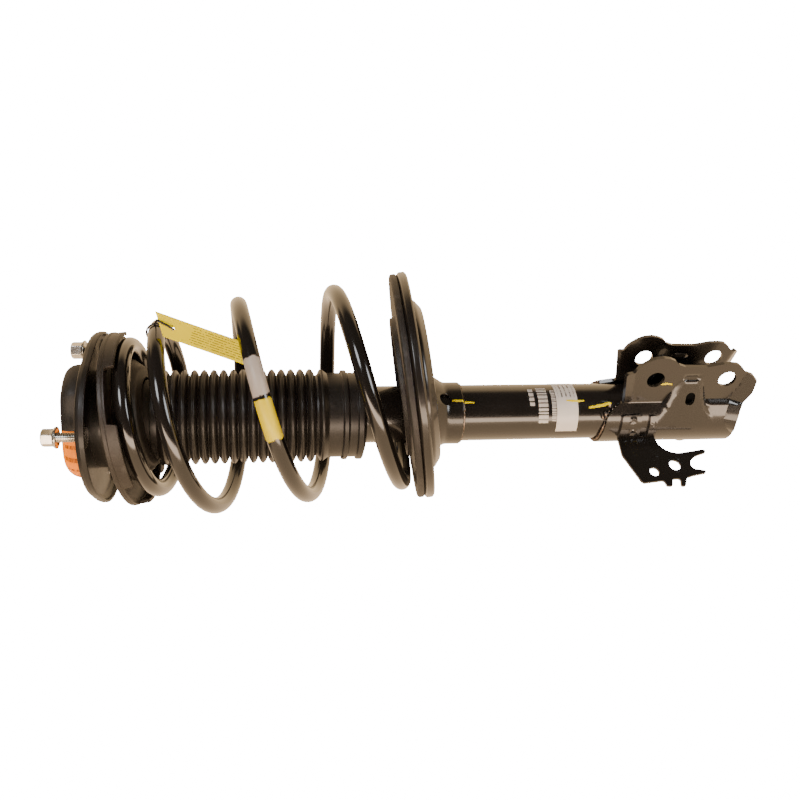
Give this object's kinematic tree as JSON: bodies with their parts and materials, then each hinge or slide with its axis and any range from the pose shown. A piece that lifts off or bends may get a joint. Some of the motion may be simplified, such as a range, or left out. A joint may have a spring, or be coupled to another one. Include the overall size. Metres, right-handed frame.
{
  "type": "suspension strut assembly",
  "caption": "Front suspension strut: three-stud top mount, leaning coil spring, ribbed dust boot, damper tube and a folded knuckle bracket with a hose bracket.",
  "frame": {"origin": "centre of the stud circle on the mount plate's top face, on the piston rod's axis", "axes": "+Z along the piston rod towards the top mount, +X from the tube towards the knuckle ears, +Y along the knuckle bolts"},
  "size_m": [0.2159, 0.1973, 0.6219],
  "materials": {
    "plate_black": "glossy black paint",
    "dome_paint": "satin dark paint",
    "zinc": "pale zinc plating",
    "rubber": "matt black rubber",
    "insulator_rubber": "semi-matt black rubber",
    "steel": "machined steel",
    "race_plastic": "dark moulded plastic",
    "ball_steel": "polished balls",
    "rod_chrome": "hard chrome",
    "foam": "foamed polyurethane",
    "band": "low-friction polymer",
    "seat_paint": "glossy black paint",
    "spring_paint": "gloss black powder coat",
    "boot_rubber": "semi-matt rubber",
    "tag_card": "yellow card",
    "tie_nylon": "black nylon",
    "ring_plastic": "pale moulded plastic",
    "tube_paint": "glossy black paint",
    "sticker_orange": "printed orange film",
    "sticker_white": "printed white film",
    "weld": "painted weld bead"
  },
  "bodies": {
    "top_mount": {"top_mount_plate": "plate_black", "mount_dome": "dome_paint", "mount_studs": "zinc", "mount_nuts": "zinc", "mount_rubber": "rubber", "inner_sleeve": "steel", "upper_washer": "steel", "lower_washer": "steel", "rod_nut": "zinc", "bearing_carrier": "race_plastic", "bearing_upper_race": "race_plastic", "piston_rod": "rod_chrome", "bump_stop": "foam", "piston": "steel", "piston_ring": "band", "piston_nut": "steel", "rebound_stop": "rubber", "mount_label": "sticker_orange"},
    "spring_top": {"bearing_balls": "ball_steel", "bearing_lower_race": "race_plastic", "upper_spring_seat": "seat_paint", "upper_insulator": "insulator_rubber", "coil_spring": "spring_paint", "dust_boot": "boot_rubber", "warning_tag": "tag_card", "tag_tie": "tie_nylon"},
    "boot_guide": {"boot_ring": "ring_plastic"},
    "damper_tube": {"strut_tube": "tube_paint", "tube_cap": "steel", "tube_end_cap": "tube_paint", "rod_guide": "steel", "oil_seal": "rubber", "pressure_tube": "steel", "base_valve": "steel", "lower_spring_seat": "seat_paint", "lower_pad": "rubber", "knuckle_bracket": "tube_paint", "hose_bracket": "tube_paint", "weld_beads": "weld", "tube_label": "sticker_white"}
  },
  "joints": [
    {"name": "steer", "type": "hinge", "parent": "top_mount", "child": "spring_top", "pos_m": [0, 0, 0], "axis": [0, 0, 1], "range_deg": [-35, 35]},
    {"name": "stroke", "type": "slide", "parent": "spring_top", "child": "damper_tube", "axis": [0, 0, 1], "range_m": [0, 0.12], "stiffness_N_per_m": 22000, "springref_m": -0.05, "deforming": ["coil_spring"]},
    {"name": "boot_slide", "type": "slide", "parent": "spring_top", "child": "boot_guide", "axis": [0, 0, 1], "range_m": [0, 0.093], "deforming": ["dust_boot"]}
  ],
  "couplings": [
    {"joint": "boot_slide", "follows": "stroke", "ratio": 0.77}
  ]
}
